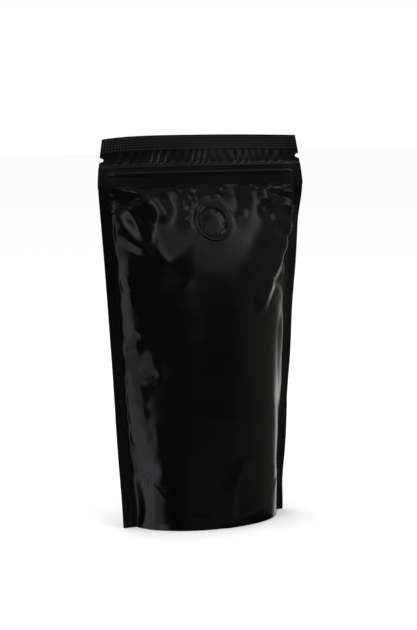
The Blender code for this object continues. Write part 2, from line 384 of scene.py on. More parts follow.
def resample(film, places, axis):
    """Points at fractional places along one axis of the grid, on a smooth curve through its points."""
    rows = np.moveaxis(film, axis, 0)
    before = 2 * rows[:1] - rows[1:2]
    after = 2 * rows[-1:] - rows[-2:-1]
    padded = np.concatenate([before, rows, after])
    start = np.minimum(places.astype(int), len(rows) - 2)
    share = (places - start).reshape(-1, *[1] * (film.ndim - 1))
    first, second, third, fourth = (padded[start + step] for step in range(4))
    smooth = second + 0.5 * share * (third - first)
    smooth += share**2 * (first - 2.5 * second + 2 * third - 0.5 * fourth)
    smooth += share**3 * (1.5 * (second - third) + 0.5 * (fourth - first))
    return np.moveaxis(smooth, 0, axis)


def finer_grid(film, across, along):
    """The film on a grid with the given columns and rows, as even shares of its width and length."""
    columns, rows = film.shape[-2] - 1, film.shape[-1] - 1
    film = resample(film, (across / HALF_WIDTH + 1) / 2 * columns, -2)
    return resample(film, along / FILM_LENGTH * rows, -1)


def turn_fins(film, across, along):
    """Bends the side seals back, each by its own slope. The strip and the base hold their ends."""
    slope = np.where(across < 0, FIN_SLOPES[0], FIN_SLOPES[1])
    slope = slope * (1 + FIN_SWAY * np.sin(along / FIN_SWAY_LENGTH))
    free = smooth_step(0.0, FIN_HELD, along)
    free = free * smooth_step(FILM_LENGTH - FIN_TOP_HELD, FILM_LENGTH - FIN_HELD, along)
    film[1] += slope * free * np.clip(np.abs(across) - HALF_INNER, 0, None)
    return film


def settle_film():
    """Simulates the film on ever finer grids, each with more of its wrinkles."""
    random = np.random.default_rng(SEED)
    across, along = flat_grid(0)
    film = filled_shape(across, along)
    film[..., 1:-1] += random.normal(0, FIRST_SHAKE, film[..., 1:-1].shape)
    levels = LEVELS
    for level, (steps, passes, bending, pressure) in enumerate(levels):
        if level > 0:
            across, along = flat_grid(level)
            film = finer_grid(film, across[:, 0], along[0])
            film[1, ..., 1:-1] += random.normal(0, LEVEL_SHAKE, film[1, ..., 1:-1].shape)
        pin_ends(film, across, along)
        film = relax(film, across, along, steps, passes, bending, pressure).astype(np.float64)
    return turn_fins(film, across, along)


# ---------------------------------------------------------------- creases

MM = 0.001
END_WIDTH = 0.35  # a crease's width where it starts and ends, as a share of its full width
FARTHEST = 1.0  # no point of the film is this far from a crease
CORNER_CUTS = 3  # rounds of cutting a path's corners
WAVES = 14
WAVE_LENGTHS = (0.012, 0.040)
WAVE_SLOPE = 0.006  # of each wave
# Where creases fade out: round the valve's flat disc, next to the side seals and next to the strip.
VALVE_FADE = (-0.0005, 0.0025)
SIDE_FADE = 0.0028
STRIP_FADE = 0.0015
FLANK_POWER = 1.25  # 1 would make straight flanks, and a larger power hollow ones

# Creases in the film: panel, height (outwards positive), radius of the crest, reach of the two flanks,
# shares of the path over which the crease fades at its start and at its end, and then the path's points as
# (across, along) on the flat film. Lengths are in millimetres. The first flank is the one on the left
# hand as the path runs, seen from the front.
CREASES = [
    # Pleats that fan out from the upper left corner.
    (FRONT, -3.2, 1.2, 7, 12, 0.50, 0.12,
     (-41, 155), (-43.5, 164), (-46.5, 174), (-51, 181), (-58, 184.5), (-66, 187)),
    (FRONT, 2.4, 0.9, 20, 30, 0.12, 0.30,
     (-48.5, 184), (-45.5, 176), (-42, 171), (-39.5, 165), (-37.5, 158), (-33, 149), (-20, 135)),
    (FRONT, 1.3, 0.9, 9, 4.5, 0.20, 0.30, (-61, 168), (-55, 164.5), (-49, 161), (-43, 157), (-38, 151)),
    (FRONT, 1.7, 2.5, 18, 6.5, 0.35, 0.35, (-44, 190), (-39, 184.5), (-32.5, 178), (-25, 168)),
    # Gathers under the strip, and the pinches between them.
    (FRONT, -1.2, 3.0, 7, 7, 0.65, 0.30, (-27, 148), (-25, 165), (-22.5, 190)),
    (FRONT, 0.9, 2.0, 4.5, 4.5, 0.60, 0.30, (-12, 174), (-14, 193)),
    (FRONT, 0.6, 2.0, 3.5, 3.5, 0.20, 0.80, (-3.5, 181), (-4, 193)),
    (FRONT, 0.6, 2.0, 3.5, 3.5, 0.20, 0.80, (4, 182), (4, 193)),
    (FRONT, -1.3, 3.0, 8, 8, 0.65, 0.30, (12, 160), (16, 176), (19, 194)),
    (FRONT, -0.8, 2.5, 5, 5, 0.35, 0.35, (29, 179), (36, 173), (43, 168)),
    (FRONT, 0.6, 2.5, 4, 4, 0.20, 0.80, (36, 178), (36, 193)),
    (FRONT, 0.6, 2.5, 4, 4, 0.20, 0.80, (48, 178), (47, 193)),
    (FRONT, 0.7, 1.2, 2.5, 2.5, 0.40, 0.40, (-18, 186), (-18.5, 194)),
    (FRONT, 0.7, 1.2, 2.5, 2.5, 0.40, 0.40, (-8.5, 186), (-8.5, 194)),
    (FRONT, 0.6, 1.2, 2.5, 2.5, 0.40, 0.40, (9, 187), (9.5, 194)),
    (FRONT, 0.7, 1.2, 2.5, 2.5, 0.40, 0.40, (31, 186), (31.5, 194)),
    (FRONT, 0.6, 1.2, 2.5, 2.5, 0.40, 0.40, (41, 186), (41.5, 194)),
    (FRONT, 0.7, 1.2, 2.5, 2.5, 0.40, 0.40, (55, 184), (56, 194)),
    # Puckers round the valve.
    (FRONT, 0.6, 0.9, 3.5, 3, 0.40, 0.40, (11, 169), (17, 171), (23, 175)),
    (FRONT, 0.5, 1.0, 3, 3, 0.40, 0.40, (-18, 180), (-13, 177), (-8, 182)),
    (FRONT, 0.5, 1.0, 3, 3, 0.40, 0.40, (-17, 174), (-13, 171)),
    # Long crease from the upper right corner.
    (FRONT, 1.5, 1.3, 9, 5, 0.12, 0.06,
     (22, 114), (29, 124), (38, 136), (46, 146), (53, 157), (57, 168), (58, 190)),
    (FRONT, 0.9, 0.8, 6, 3.5, 0.30, 0.15, (55.5, 158), (56.6, 168), (56.8, 180), (56.8, 190)),
    # Roll along the left seal, and the folds that cross it.
    (FRONT, 0.9, 1.0, 8, 8, 0.20, 0.20, (-47, 102), (-49, 118), (-50, 130), (-52, 143), (-53, 153)),
    (FRONT, -0.7, 0.9, 2.5, 5, 0.25, 0.15, (-57.5, 98), (-57.5, 130), (-57.5, 158)),
    (FRONT, 0.6, 1.0, 8, 5, 0.40, 0.40, (-51, 104), (-44.5, 112), (-49, 121)),
    (FRONT, 1.0, 1.0, 7, 6, 0.25, 0.25, (-60, 82), (-50, 84), (-43, 85.5), (-33, 90)),
    (FRONT, 0.9, 1.5, 12, 6, 0.35, 0.35, (-40, 84), (-36, 90), (-46, 100)),
    (FRONT, -0.4, 1.5, 5, 5, 0.35, 0.35, (-48, 79), (-38, 81), (-28, 82)),
    (FRONT, 0.7, 1.2, 9, 5, 0.40, 0.40, (-44, 40), (-40, 51), (-44, 62)),
    (FRONT, 1.0, 0.9, 5, 4.5, 0.30, 0.30, (-47, 21), (-43, 26), (-35, 37)),
    (FRONT, -0.4, 2.0, 4, 4, 0.35, 0.35, (-46, 26), (-50, 33), (-54, 40)),
    (FRONT, 0.4, 2.0, 4, 4, 0.35, 0.35, (-46, 41), (-36, 36)),
    (FRONT, 0.7, 1.5, 8, 5, 0.30, 0.30, (-58, 136), (-50, 138)),
    (FRONT, 0.7, 1.5, 8, 5, 0.30, 0.30, (-60, 124), (-48, 127)),
    (FRONT, 0.7, 1.5, 8, 5, 0.30, 0.30, (-61, 112), (-47, 114)),
    (FRONT, 0.7, 1.5, 6, 5, 0.30, 0.30, (-61, 101), (-46, 104)),
    (FRONT, 0.7, 1.5, 7, 5, 0.30, 0.30, (-61, 72), (-44, 76)),
    (FRONT, 0.7, 1.5, 7, 5, 0.30, 0.30, (-60, 62), (-44, 66)),
    (FRONT, 0.7, 1.5, 7, 5, 0.30, 0.30, (-59, 50), (-43, 55)),
    # Roll along the right seal.
    (FRONT, 0.9, 1.0, 8, 6, 0.25, 0.25, (57, 50), (55, 80), (53.5, 103), (57, 121)),
    # Soft folds above the base.
    (FRONT, 1.2, 1.0, 8, 12, 0.25, 0.25, (-1, -4), (0, 18), (10, 40)),
    (FRONT, -0.4, 1.2, 3, 3, 0.35, 0.35, (-19, 10), (-12, 11)),
    # The back panel's pleats and folds.
    (BACK, 1.8, 0.9, 8, 14, 0.25, 0.30, (38, 150), (45, 163), (51, 176), (60, 186)),
    (BACK, -1.6, 1.0, 9, 9, 0.30, 0.25, (43, 146), (50, 158), (56, 168), (62, 172)),
    (BACK, 1.4, 0.9, 12, 7, 0.20, 0.35, (-61, 180), (-52, 172), (-43, 160), (-30, 146)),
    (BACK, 1.2, 0.9, 6, 7, 0.20, 0.30, (-60, 162), (-52, 157), (-42, 146)),
    (BACK, 0.9, 2.5, 6, 6, 0.20, 0.80, (-24, 168), (-27, 180), (-28, 193)),
    (BACK, 0.8, 2.5, 5, 5, 0.20, 0.80, (-6, 172), (-8, 193)),
    (BACK, 0.9, 3.0, 6, 6, 0.20, 0.80, (12, 166), (11, 180), (13, 193)),
    (BACK, 0.8, 2.5, 5, 5, 0.20, 0.80, (30, 174), (31, 193)),
    (BACK, 0.7, 1.2, 2.5, 2.5, 0.40, 0.40, (-17, 186), (-17, 194)),
    (BACK, 0.7, 1.2, 2.5, 2.5, 0.40, 0.40, (3, 186), (2.5, 194)),
    (BACK, 0.7, 1.2, 2.5, 2.5, 0.40, 0.40, (22, 186), (22, 194)),
    (BACK, 0.9, 1.0, 7, 8, 0.20, 0.20, (48, 60), (50, 85), (50, 112), (54, 134)),
    (BACK, 1.0, 1.0, 7, 6, 0.25, 0.25, (36, 100), (46, 95), (60, 93)),
    (BACK, 0.6, 1.5, 5, 5, 0.35, 0.35, (46, 66), (60, 61)),
    (BACK, 1.0, 1.0, 8, 6, 0.20, 0.25, (-58, 52), (-50, 60), (-42, 76)),
    (BACK, -0.6, 1.2, 5, 5, 0.35, 0.35, (-60, 66), (-50, 72), (-44, 84)),
    (BACK, 0.6, 2.0, 5, 5, 0.35, 0.35, (-60, 98), (-48, 103)),
    (BACK, 1.0, 1.5, 12, 9, 0.25, 0.25, (12, 44), (2, 20), (4, -4)),
]


def smooth_path(points):
    """The path in metres, with its corners cut so that it bends softly."""
    path = np.array(points) * MM
    for _ in range(CORNER_CUTS):
        early = 0.75 * path[:-1] + 0.25 * path[1:]
        late = 0.25 * path[:-1] + 0.75 * path[1:]
        cut = np.stack([early, late], axis=1)
        path = np.concatenate([path[:1], cut.reshape(-1, 2), path[-1:]])
    return path


def crease_profile(path, radius, left, right, fade_in, fade_out, across, along):
    """A crease's height over the film as a share of its full height."""
    steps = np.diff(path, axis=0)
    lengths = np.sqrt((steps * steps).sum(axis=1))
    starts = np.cumsum(lengths) - lengths
    nearest = np.full(across.shape, FARTHEST)
    place = np.zeros(across.shape)
    flank = np.full(across.shape, left)
    for (from_u, from_v), (step_u, step_v), length, start in zip(path, steps, lengths, starts):
        off_u = across - from_u
        off_v = along - from_v
        share = np.clip((off_u * step_u + off_v * step_v) / length**2, 0, 1)
        gap = np.sqrt((off_u - share * step_u) ** 2 + (off_v - share * step_v) ** 2)
        side = np.where(step_u * off_v - step_v * off_u > 0, left, right)
        closer = gap < nearest
        nearest = np.where(closer, gap, nearest)
        place = np.where(closer, (start + share * length) / lengths.sum(), place)
        flank = np.where(closer, side, flank)
    taper = smooth_step(0.0, fade_in, place) * smooth_step(1.0, 1.0 - fade_out, place)
    reach = flank * (END_WIDTH + (1 - END_WIDTH) * taper)
    rounded = np.sqrt(nearest * nearest + radius * radius) - radius
    return taper * np.clip(1 - rounded / reach, 0, 1) ** FLANK_POWER


def film_waviness(panel, across, along):
    """Shallow waves in all directions, so that no part of the film is perfectly smooth."""
    random = np.random.default_rng(SEED + panel)
    waves = np.zeros(across.shape)
    for _ in range(WAVES):
        angle = random.uniform(0, math.pi)
        length = random.uniform(*WAVE_LENGTHS)
        phase = random.uniform(0, 2 * math.pi)
        distance = across * math.cos(angle) + along * math.sin(angle)
        waves += WAVE_SLOPE * length / (2 * math.pi) * np.sin(2 * math.pi * distance / length + phase)
    return waves


def crease_relief(panel, across, along):
    """Sum of one panel's creases. They leave the seals, the strip and the valve's disc alone."""
    relief = film_waviness(panel, across, along)
    for creased_panel, height, radius, left, right, fade_in, fade_out, *points in CREASES:
        if creased_panel == panel:
            shape = (smooth_path(points), radius * MM, left * MM, right * MM, fade_in, fade_out)
            relief += height * MM * crease_profile(*shape, across, along)
    if panel == FRONT:
        off_valve = np.hypot(across - VALVE_CENTRE[0], along - VALVE_CENTRE[1]) - VALVE_FLAT_RADIUS
        relief *= smooth_step(*VALVE_FADE, off_valve)
    relief *= smooth_step(HALF_INNER, HALF_INNER - SIDE_FADE, np.abs(across))
    return relief * smooth_step(FILM_LENGTH, FILM_LENGTH - STRIP_FADE, along)


# ---------------------------------------------------------------- meshes

SHARP_ANGLE = math.radians(50)


def link_object(name, mesh):
    piece = bpy.data.objects.new(name, mesh)
    bpy.context.scene.collection.objects.link(piece)
    return piece


def mesh_from(name, points, faces):
    mesh = bpy.data.meshes.new(name)
    mesh.from_pydata(points, [], faces)
    mesh.validate()
    mesh.shade_smooth()
    mesh.set_sharp_from_angle(angle=SHARP_ANGLE)
    return mesh


def grid_faces(index, outward):
    """Quads of a grid of point numbers, facing out as columns run right and rows run up."""
    corners = [index[:-1, :-1], index[1:, :-1], index[1:, 1:], index[:-1, 1:]]
    if not outward:
        corners.reverse()
    return np.stack([corner.ravel() for corner in corners], axis=1).tolist()


# ---------------------------------------------------------------- the filled body

FILM_HALF_THICKNESS = 0.0002
GUSSET_STEP = 0.00025  # the gusset's film adds this much below its seal
GUSSET_STEP_FADE = 0.0008
# Small oval dents near the base in both side seals.
PUNCH_CENTRE = (0.0608, 0.0125)
PUNCH_SIZE = (0.0012, 0.0033)
PUNCH_EDGE = (1.3, 0.7)  # where its slope starts and ends, as shares of its size
PUNCH_DEPTH = 0.00025
TUCK = 0.0010  # the body's film runs this far up inside the header
TUCK_NARROWING = 0.7
MESH_COLUMNS = (236, 96)  # front and back
DENSE_HEIGHT = 0.120  # the mesh has closer rows above this
DENSE_ROWS = 134
LOOSE_ROWS = 142

# Underside: its film rises from the rim, comes down where the coffee presses on it, and rises a little
# at the crease in the middle.
GUSSET_ROWS = 12
GUSSET_ROW_POWER = 1.8  # closer rows at the rim
GUSSET_CLEARANCE = 0.0002
GUSSET_LIFT = 0.0035
GUSSET_RISE = (0.0005, 0.0022)  # how far in from the rim it starts and ends
GUSSET_FALL = (0.004, 0.013)
GUSSET_CREASE = 0.0012
GUSSET_CREASE_START = 0.75  # share of the way in
GUSSET_OPENING = (0.001, 0.010)  # where the bag is as thin as this it doesn't rise yet, or rises in full


def film_thickness(across, along):
    """How far each panel's surface stands off the simulated sheet."""
    doubled = smooth_step(GUSSET_STEP_FADE, -GUSSET_STEP_FADE, along - gusset_seal(across))
    thickness = FILM_HALF_THICKNESS + GUSSET_STEP * doubled
    off_u = (np.abs(across) - PUNCH_CENTRE[0]) / PUNCH_SIZE[0]
    off_v = (along - PUNCH_CENTRE[1]) / PUNCH_SIZE[1]
    return thickness - PUNCH_DEPTH * smooth_step(*PUNCH_EDGE, np.sqrt(off_u**2 + off_v**2))


def half_gusset(rim, inward):
    """Rows of points across half the underside, from a panel's rim to the crease in the middle."""
    gap = np.abs(rim[1])
    rows = []
    for step in range(1, GUSSET_ROWS + 1):
        near = step / GUSSET_ROWS
        inset = near**GUSSET_ROW_POWER * gap
        row = rim.copy()
        row[1] += inward * inset
        lift = GUSSET_LIFT * smooth_step(*GUSSET_RISE, inset) * (1 - smooth_step(*GUSSET_FALL, inset))
        lift += GUSSET_CREASE * smooth_step(GUSSET_CREASE_START, 1.0, near)
        row[2] = GUSSET_CLEARANCE + lift * smooth_step(*GUSSET_OPENING, gap)
        rows.append(row)
    return rows


def bridge(first, second):
    """Triangles between two rows of point numbers that run the same way, facing left of the run."""
    faces = []
    here, there = 0, 0
    while here < len(first) - 1 or there < len(second) - 1:
        first_next = (here + 1) / (len(first) - 1)
        second_next = (there + 1) / (len(second) - 1)
        if first_next <= second_next:
            faces.append([int(first[here]), int(first[here + 1]), int(second[there])])
            here += 1
        else:
            faces.append([int(first[here]), int(second[there + 1]), int(second[there])])
            there += 1
    return faces


def panel_film(film, panel, columns, along):
    """One panel's creased surface as (xyz, column, row), with its last row tucked in the header."""
    across = np.linspace(-HALF_WIDTH, HALF_WIDTH, columns + 1)
    sheet = finer_grid(film[:, panel], across, along)
    across, along = np.meshgrid(across, along, indexing="ij")
    outward = sheet_normals(sheet) * FACING[panel]
    sheet += outward * (film_thickness(across, along) + crease_relief(panel, across, along))
    sheet[2] = np.maximum(sheet[2], 0.0)
    sheet[2, :, 0] = 0.0
    top = sheet[..., -1:].copy()
    top[2] += TUCK
    top[1] *= TUCK_NARROWING
    return np.concatenate([sheet, top], axis=2)


def make_body(film):
    """The filled part of the pouch, up to the strip, closed below by the gusset."""
    loose = np.linspace(0, DENSE_HEIGHT, LOOSE_ROWS, endpoint=False)
    dense = np.linspace(DENSE_HEIGHT, FILM_LENGTH, DENSE_ROWS + 1)
    along = np.concatenate([loose, dense])
    vertices = []
    faces = []

    def add_points(points):
        """Adds points (xyz, ...) and returns their numbers."""
        start = sum(len(block) for block in vertices)
        vertices.append(points.reshape(3, -1).T)
        return start + np.arange(points[0].size).reshape(points.shape[1:])

    panels = []
    middles = []
    for panel, columns in zip((FRONT, BACK), MESH_COLUMNS):
        sheet = panel_film(film, panel, columns, along)
        index = add_points(sheet)
        under = [add_points(row) for row in half_gusset(sheet[:, :, 0], FACING[panel])]
        under = np.stack([index[:, 0], *under], axis=1)
        faces += grid_faces(index, panel == FRONT)
        faces += grid_faces(under, panel == BACK)
        panels.append(index)
        middles.append(under)
    front, back = panels
    faces += bridge(front[:, -1], back[:, -1])
    faces += bridge(middles[BACK][:, -1], middles[FRONT][:, -1])
    faces += grid_faces(np.stack([back[0], front[0]]), True)
    faces += grid_faces(np.stack([front[-1], back[-1]]), True)
    front_under, back_under = middles
    faces.append(np.concatenate([back_under[0], front_under[0, ::-1]]).tolist())
    faces.append(np.concatenate([front_under[-1], back_under[-1, ::-1]]).tolist())
    return mesh_from("pouch_body", np.concatenate(vertices).tolist(), faces)


# ---------------------------------------------------------------- the header above the body

HEADER_COLUMNS = 600
NOTCH_HEIGHT = 0.2033
NOTCH_DEPTH = 0.0025
NOTCH_HALF_HEIGHT = 0.0013
EDGE_BAND = 0.0045  # the notches squeeze only the columns this close to the edge
HEADER_HALF_THICKNESS = 0.00022
HEADER_LEAN = math.tan(math.radians(5.5))

# The strip's relief.
STRIP_TOP = 0.1990
STRIP_TOP_EDGE = (0.0006, -0.0002)  # its upper edge slopes between these heights over STRIP_TOP
RIDGES = ((0.1942, 0.00085, 0.00090), (0.1982, 0.00005, 0.0006))  # height, rise, half-width
RIDGE_CRUSH = (0.053, 0.0605)  # how far out the ridges start to go and are gone

# The heat seal's dashes, in rows.
SEAL_BAND_BOTTOM = 0.2070
SEAL_BAND_FADES = (0.0003, 0.0005)  # at the bottom and at the top edge
DASH_PITCH = 0.0019
DASH_ROW_PITCH = 0.00150
DASH_SLANT = 0.25
DASH_RISE = 0.00020
DASH_END = (0.29, 0.13)  # where its end slope starts and ends, as shares of the pitch
DASH_SIDE = (0.48, 0.0)

# Small upright folds between the strip and the heat seal, and the sway of the whole header.
FOLD_RISE = 0.00026
FOLD_LENGTH = 0.00080
FOLD_BUNCHING = 1.7  # how unevenly the folds are spaced
BUNCHING_LENGTH = 0.0053
FOLD_CHANGE = 0.38  # how much their rise changes, as a share
CHANGE_LENGTH = 0.0041
CHANGE_START = 2.0
FOLD_SLANT = 180.0  # how far the folds lean, to either side
SLANT_LENGTH = 0.013
SLANT_START = 0.5
FOLD_BOTTOM = (-0.0005, 0.0025)  # they start between these heights over STRIP_TOP
FOLD_TOP = (0.001, -0.004)  # and end between these over SEAL_BAND_BOTTOM
FOLD_SIDES = (0.060, 0.050)
SWAY = 0.0006
SWAY_LENGTH = 0.021
SWAY_START = 0.6

# Rows of the header's mesh: even ones up to the heat seal, then closer ones for the dashes.
STRIP_ROWS = 42
ROWS_PER_DASH = 6
FIRST_DASH_ROW = -0.0004  # over SEAL_BAND_BOTTOM
TOP_GAP = 0.0001


def header_half_width(z):
    share = np.clip((z - STRIP_BOTTOM) / (HEIGHT - STRIP_BOTTOM), 0, 1)
    return HALF_WIDTH - (HALF_WIDTH - TOP_HALF_WIDTH) * share**SHOULDER_CURVE


def header_rows():
    first = SEAL_BAND_BOTTOM + FIRST_DASH_ROW
    even = np.linspace(STRIP_BOTTOM, first + FIRST_DASH_ROW, STRIP_ROWS)
    close = np.arange(first, HEIGHT - TOP_GAP, DASH_ROW_PITCH / ROWS_PER_DASH)
    return np.concatenate([even, close, [HEIGHT]])


def strip_relief(across, z):
    """What the strip adds to half the thickness, with its ridges."""
    whole = 1 - smooth_step(*RIDGE_CRUSH, np.abs(across))
    body = smooth_step(*STRIP_TOP_EDGE, z - STRIP_TOP)
    relief = (strip_half_thickness(across) + FILM_HALF_THICKNESS - HEADER_HALF_THICKNESS) * body
    for height, rise, half in RIDGES:
        off = np.clip(np.abs(z - height) / half, 0, 1)
        relief = relief + rise * whole * (0.5 + 0.5 * np.cos(math.pi * off))
    return relief


def seal_dashes(across, z):
    """Relief of the heat seal: rows of small slanted dashes."""
    row = (z - SEAL_BAND_BOTTOM) / DASH_ROW_PITCH
    up = row - np.floor(row) - 0.5
    shift = across / DASH_PITCH - DASH_SLANT * up
    along_row = shift - np.floor(shift) - 0.5
    dash = smooth_step(*DASH_END, np.abs(along_row)) * smooth_step(*DASH_SIDE, np.abs(up))
    inside = smooth_step(0.0, SEAL_BAND_FADES[0], z - SEAL_BAND_BOTTOM)
    inside = inside * smooth_step(0.0, SEAL_BAND_FADES[1], HEIGHT - z)
    return DASH_RISE * dash * inside


def header_wave(across, z):
    """How far the thin film above the strip stands back, with its folds and its sway."""
    free = smooth_step(*FOLD_BOTTOM, z - STRIP_TOP) * smooth_step(*FOLD_TOP, z - SEAL_BAND_BOTTOM)
    free = free * smooth_step(*FOLD_SIDES, np.abs(across))
    slant = FOLD_SLANT * (z - STRIP_TOP) * np.sin(across / SLANT_LENGTH + SLANT_START)
    bunching = FOLD_BUNCHING * np.sin(across / BUNCHING_LENGTH)
    folds = np.sin(across / FOLD_LENGTH + bunching + slant)
    folds *= 1 - FOLD_CHANGE + FOLD_CHANGE * np.sin(across / CHANGE_LENGTH + CHANGE_START)
    sway = SWAY * np.sin(across / SWAY_LENGTH + SWAY_START) * smooth_step(STRIP_TOP, HEIGHT, z)
    return FOLD_RISE * folds * free + sway + HEADER_LEAN * (z - STRIP_BOTTOM)


def make_header():
    """Strip, tear notches and heat seal, as one thin closed slab."""
    across = np.linspace(-HALF_WIDTH, HALF_WIDTH, HEADER_COLUMNS + 1)
    across, z = np.meshgrid(across, header_rows(), indexing="ij")
    notch_off = np.clip(np.abs(z - NOTCH_HEIGHT) / NOTCH_HALF_HEIGHT, 0, 1)
    notch = NOTCH_DEPTH * np.sqrt(1 - notch_off**2)
    edge = header_half_width(z)
    place = across / HALF_WIDTH * edge
    beyond = np.clip(np.abs(place) - (edge - EDGE_BAND), 0, None) / EDGE_BAND
    x = place - np.sign(place) * notch * beyond
    thick = HEADER_HALF_THICKNESS + strip_relief(across, z)
    middle = header_wave(across, z)
    share = np.abs(place) / HALF_WIDTH
    left_drop = CORNER_DROPS[0] * share ** CORNER_CURVES[0]
    right_drop = CORNER_DROPS[1] * share ** CORNER_CURVES[1]
    drop = np.where(place < 0, left_drop, right_drop)
    drop *= smooth_step(STRIP_BOTTOM, HEIGHT, z)
    front = np.stack([x, middle - thick - seal_dashes(across, z), z - drop])
    back = np.stack([x, middle + thick + seal_dashes(across, z), z - drop])
    points = np.stack([front, back], axis=1)
    columns, rows = across.shape
    index = np.arange(2 * columns * rows).reshape(2, columns, rows)
    faces = grid_faces(index[FRONT], True) + grid_faces(index[BACK], False)
    for column in (0, -1):
        side = np.stack([index[BACK, column], index[FRONT, column]])
        faces += grid_faces(side, column == 0)
    for row in (-1, 0):
        cap = np.stack([index[FRONT, :, row], index[BACK, :, row]], axis=1)
        faces += grid_faces(cap, row == -1)
    return mesh_from("pouch_header", points.reshape(3, -1).T.tolist(), faces)


# ---------------------------------------------------------------- the valve

VALVE_SEGMENTS = 160
PIN_HOLES = 5
PIN_HOLE_CIRCLE = 0.0067
PIN_HOLE_RADIUS = 0.0006
PIN_HOLE_DEPTH = 0.0005
PIN_HOLE_FLOOR_RADIUS = 0.4 * PIN_HOLE_RADIUS
PIN_LIP = 0.00012  # the film stands up this far round each hole
PIN_LIP_RADIUS = 0.0008
PIN_LIP_WIDTH = 0.0003
FIRST_HOLE_ANGLE = math.radians(57)
VALVE_PATCH = 0.7  # share of the flat disc's radius that its place is measured on
VALVE_RINGS = 58
FIRST_RING = 0.0003
SKIRT_DEPTH = 0.0004  # the boss runs this far into the film
SOFTENING_PASSES = 3
SOFTENING = (0.25, 0.5, 0.25)
# Radius and height above the film of the valve's turned outline.
VALVE_OUTLINE = (
    (0.0000, 0.0008),
    (0.0035, 0.0007),
    (0.0066, 0.0003),
    (0.0076, 0.0002),
    (0.0080, 0.0009),
    (0.0085, 0.0013),
    (0.0091, 0.0012),
    (0.0096, 0.0007),
    (0.0101, 0.0006),
    (0.0106, 0.0009),
    (0.0111, 0.0008),
    (0.0114, 0.0003),
    (0.0115, 0.0000),
)


def valve_place(film):
    """Matrix of the flat patch of film over the valve: x across, y along the film, z outwards."""
    across, along = flat_grid(round(math.log2((film.shape[2] - 1) / COARSE_COLUMNS)))
    near = np.hypot(across - VALVE_CENTRE[0], along - VALVE_CENTRE[1]) < VALVE_FLAT_RADIUS * VALVE_PATCH
    points = film[:, FRONT][:, near]
    centre = points.mean(axis=1)
    off_u = across[near] - across[near].mean()
    axis_u = Vector((points * off_u).sum(axis=1)).normalized()
    off_v = along[near] - along[near].mean()
    axis_v = Vector((points * off_v).sum(axis=1)).normalized()
    axis_w = axis_u.cross(axis_v).normalized()
    centre += (across[near].mean() - VALVE_CENTRE[0]) * -np.array(axis_u)
    centre += (along[near].mean() - VALVE_CENTRE[1]) * -np.array(axis_v)
    frame_matrix = Matrix((axis_u, axis_w.cross(axis_u), axis_w)).transposed().to_4x4()
    return Matrix.Translation(Vector(centre) + axis_w * FILM_HALF_THICKNESS) @ frame_matrix


def pin_hole_dent(x, y):
    """Depth of the pin holes at a point of the boss, negative on their lips."""
    dent = 0.0
    for hole in range(PIN_HOLES):
        turn = FIRST_HOLE_ANGLE + hole * 2 * math.pi / PIN_HOLES
        off = math.hypot(x - PIN_HOLE_CIRCLE * math.cos(turn), y - PIN_HOLE_CIRCLE * math.sin(turn))
        dent += PIN_HOLE_DEPTH * float(smooth_step(PIN_HOLE_RADIUS, PIN_HOLE_FLOOR_RADIUS, off))
        dent -= PIN_LIP * math.exp(-(((off - PIN_LIP_RADIUS) / PIN_LIP_WIDTH) ** 2))
    return dent


def make_valve(place):
    """The valve's round boss, pressed through the film, with five pin holes."""
    outline_radii, outline_heights = zip(*VALVE_OUTLINE)
    radii = np.linspace(FIRST_RING, VALVE_RADIUS, VALVE_RINGS)
    heights = np.interp(radii, outline_radii, outline_heights)
    for _ in range(SOFTENING_PASSES):
        heights[1:-1] = np.convolve(heights, SOFTENING, "valid")
    vertices = []
    for radius, height in zip(radii, heights):
        for step in range(VALVE_SEGMENTS):
            angle = step * 2 * math.pi / VALVE_SEGMENTS
            x, y = radius * math.cos(angle), radius * math.sin(angle)
            vertices.append((x, y, float(height) - pin_hole_dent(x, y)))
    vertices += [(x, y, -SKIRT_DEPTH) for x, y, _ in vertices[-VALVE_SEGMENTS:]]
    index = np.arange(len(vertices)).reshape(-1, VALVE_SEGMENTS)
    top = index[0].tolist()
    bottom = index[-1, ::-1].tolist()
    index = np.concatenate([index, index[:, :1]], axis=1)
    faces = grid_faces(index, True) + [top, bottom]
    mesh = mesh_from("valve_boss", vertices, faces)
    mesh.transform(place)
    return mesh


# ---------------------------------------------------------------- materials

def film_material(name, roughness):
    material = bpy.data.materials.new(name)
    material.use_nodes = True
    nodes = material.node_tree.nodes
    links = material.node_tree.links
    shader = nodes["Principled BSDF"]
    shader.inputs["IOR"].default_value = 1.5
    place = nodes.new("ShaderNodeTexCoord")
    grain = nodes.new("ShaderNodeTexNoise")
    grain.inputs["Scale"].default_value = 900.0
    grain.inputs["Detail"].default_value = 3.0
    links.new(place.outputs["Object"], grain.inputs["Vector"])
    cloud = nodes.new("ShaderNodeTexNoise")
    cloud.inputs["Scale"].default_value = 45.0
    cloud.inputs["Detail"].default_value = 4.0
    links.new(place.outputs["Object"], cloud.inputs["Vector"])
    colour = nodes.new("ShaderNodeMix")
    colour.data_type = "RGBA"
    colour.inputs["A"].default_value = (0.0010, 0.0010, 0.0012, 1)
    colour.inputs["B"].default_value = (0.0024, 0.0023, 0.0024, 1)
    links.new(cloud.outputs["Fac"], colour.inputs["Factor"])
    links.new(colour.outputs["Result"], shader.inputs["Base Color"])
    spread = nodes.new("ShaderNodeMapRange")
    spread.inputs["To Min"].default_value = roughness - 0.04
    spread.inputs["To Max"].default_value = roughness + 0.05
    links.new(cloud.outputs["Fac"], spread.inputs["Value"])
    links.new(spread.outputs["Result"], shader.inputs["Roughness"])
    bump = nodes.new("ShaderNodeBump")
    bump.inputs["Strength"].default_value = 0.12
    bump.inputs["Distance"].default_value = 0.00005
    links.new(grain.outputs["Fac"], bump.inputs["Height"])
    links.new(bump.outputs["Normal"], shader.inputs["Normal"])
    return material


# ---------------------------------------------------------------- studio

